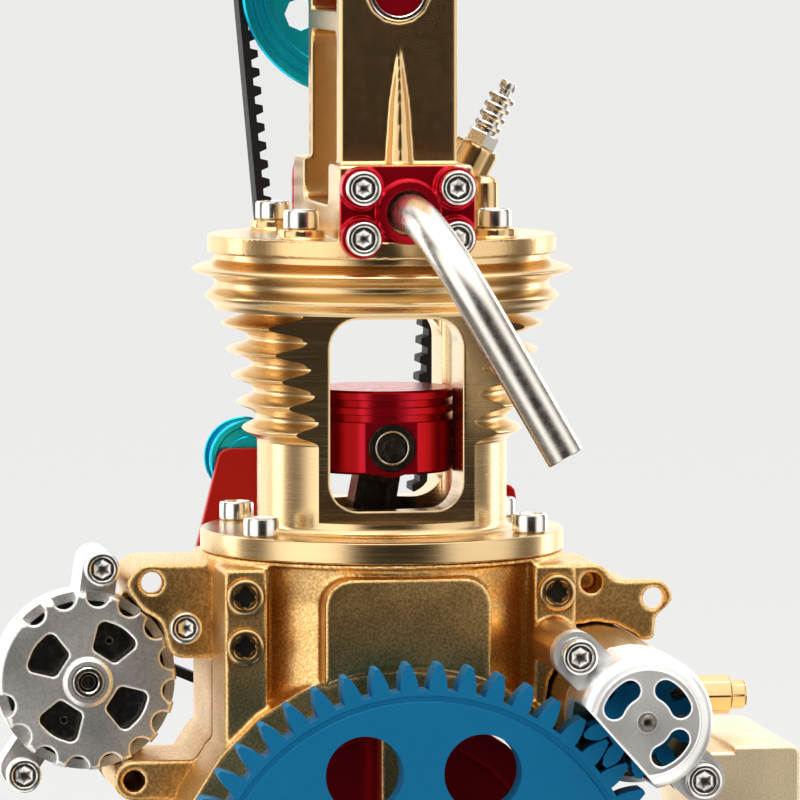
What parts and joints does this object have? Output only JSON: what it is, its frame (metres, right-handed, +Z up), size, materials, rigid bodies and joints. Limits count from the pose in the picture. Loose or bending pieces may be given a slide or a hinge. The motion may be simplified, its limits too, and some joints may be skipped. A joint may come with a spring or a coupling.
{
  "type": "four stroke engine model",
  "caption": "Desktop engine model with a finned cylinder cut open at the front, piston and crankshaft, belt driven camshaft, geared starter and generator on a flat base.",
  "frame": {"origin": "on the table, centred under the base plate and the cylinder axis", "axes": "+Z up along the cylinder, +X to the right of the engine's front, +Y back along the crankshaft"},
  "size_m": [0.13, 0.11, 0.2192],
  "materials": {
    "gold": "champagne gold, satin machined",
    "blasted_gold": "champagne gold, bead blasted",
    "blue": "flat satin blue",
    "cyan": "glossy cyan blue",
    "red": "deep red satin",
    "bright_red": "bright red satin",
    "steel": "bright machined steel",
    "dark_steel": "dark turned steel",
    "black_metal": "fine black powder coat",
    "rubber": "matt black"
  },
  "bodies": {
    "engine_frame": {"base_plate": "black_metal", "foot_front_left": "rubber", "foot_front_right": "rubber", "foot_back_left": "rubber", "foot_back_right": "rubber", "oil_pan": "gold", "cylinder": "gold", "cylinder_head": "gold", "cam_cover": "gold", "starter_stud": "gold", "side_box": "gold", "crankcase_front": "blasted_gold", "crankcase_back": "blasted_gold", "cylinder_bolt_front_left": "steel", "cylinder_bolt_front_right": "steel", "cylinder_bolt_back_left": "steel", "cylinder_bolt_back_right": "steel", "head_bolt_front_left": "steel", "head_bolt_front_right": "steel", "head_bolt_back_left": "steel", "head_bolt_back_right": "steel", "exhaust_flange": "red", "intake_trumpet": "red", "exhaust_valve_spring": "steel", "intake_valve_spring": "steel", "exhaust_pipe": "steel", "starter_cover": "steel", "starter_motor": "gold", "starter_screw_upper": "steel", "starter_screw_lower": "steel", "generator_cover": "steel", "generator_body": "steel", "generator_screw_upper": "steel", "generator_screw_lower": "steel", "spark_plug": "steel", "tensioner_bracket": "bright_red", "timing_belt": "rubber", "generator_belt": "rubber"},
    "crank": {"flywheel_gear": "blue", "crank_web_front": "red", "crank_web_back": "red", "crank_pulley": "cyan"},
    "camshaft_set": {"camshaft": "red", "cam_pulley": "cyan"},
    "pinion": {"starter_pinion": "blue"},
    "rotor": {"generator_rotor": "dark_steel"},
    "idler": {"tensioner_roller": "cyan"},
    "piston_set": {"piston": "red", "wrist_pin": "dark_steel"},
    "rod": {"connecting_rod": "steel", "crank_pin": "steel"},
    "exhaust_poppet": {"exhaust_valve": "steel"},
    "intake_poppet": {"intake_valve": "steel"}
  },
  "joints": [
    {"name": "crank_spin", "type": "hinge", "parent": "engine_frame", "child": "crank", "pos_m": [0, 0, 0.0605], "axis": [0, 1, 0], "continuous": true, "deforming": ["timing_belt", "generator_belt"]},
    {"name": "cam_spin", "type": "hinge", "parent": "engine_frame", "child": "camshaft_set", "pos_m": [0, 0, 0.2012], "axis": [0, 1, 0], "continuous": true},
    {"name": "pinion_spin", "type": "hinge", "parent": "engine_frame", "child": "pinion", "pos_m": [0.03365, 0, 0.09038], "axis": [0, 1, 0], "continuous": true},
    {"name": "generator_spin", "type": "hinge", "parent": "engine_frame", "child": "rotor", "pos_m": [-0.0468, 0, 0.0927], "axis": [0, 1, 0], "continuous": true},
    {"name": "idler_spin", "type": "hinge", "parent": "engine_frame", "child": "idler", "pos_m": [-0.0164, 0, 0.1244], "axis": [0, 1, 0], "continuous": true},
    {"name": "piston_slide", "type": "slide", "parent": "engine_frame", "child": "piston_set", "axis": [0, 0, 1], "range_m": [-0.01138, 0.01361]},
    {"name": "rod_swing", "type": "hinge", "parent": "piston_set", "child": "rod", "pos_m": [0, 0, 0.12978], "axis": [0, 1, 0], "range_deg": [-20.45, 0]},
    {"name": "exhaust_valve_lift", "type": "slide", "parent": "engine_frame", "child": "exhaust_poppet", "axis": [0, 0, 1], "range_m": [-0.0015, 0], "stiffness_N_per_m": 300, "springref_m": 0.001, "deforming": ["exhaust_valve_spring"]},
    {"name": "intake_valve_lift", "type": "slide", "parent": "engine_frame", "child": "intake_poppet", "axis": [0, 0, 1], "range_m": [-0.0015, 0], "stiffness_N_per_m": 300, "springref_m": 0.001, "deforming": ["intake_valve_spring"]}
  ],
  "couplings": [
    {"joint": "cam_spin", "follows": "crank_spin", "ratio": 0.5},
    {"joint": "pinion_spin", "follows": "crank_spin", "ratio": -5},
    {"joint": "generator_spin", "follows": "crank_spin", "ratio": 3.7805},
    {"joint": "idler_spin", "follows": "crank_spin", "ratio": -1.3975}
  ]
}
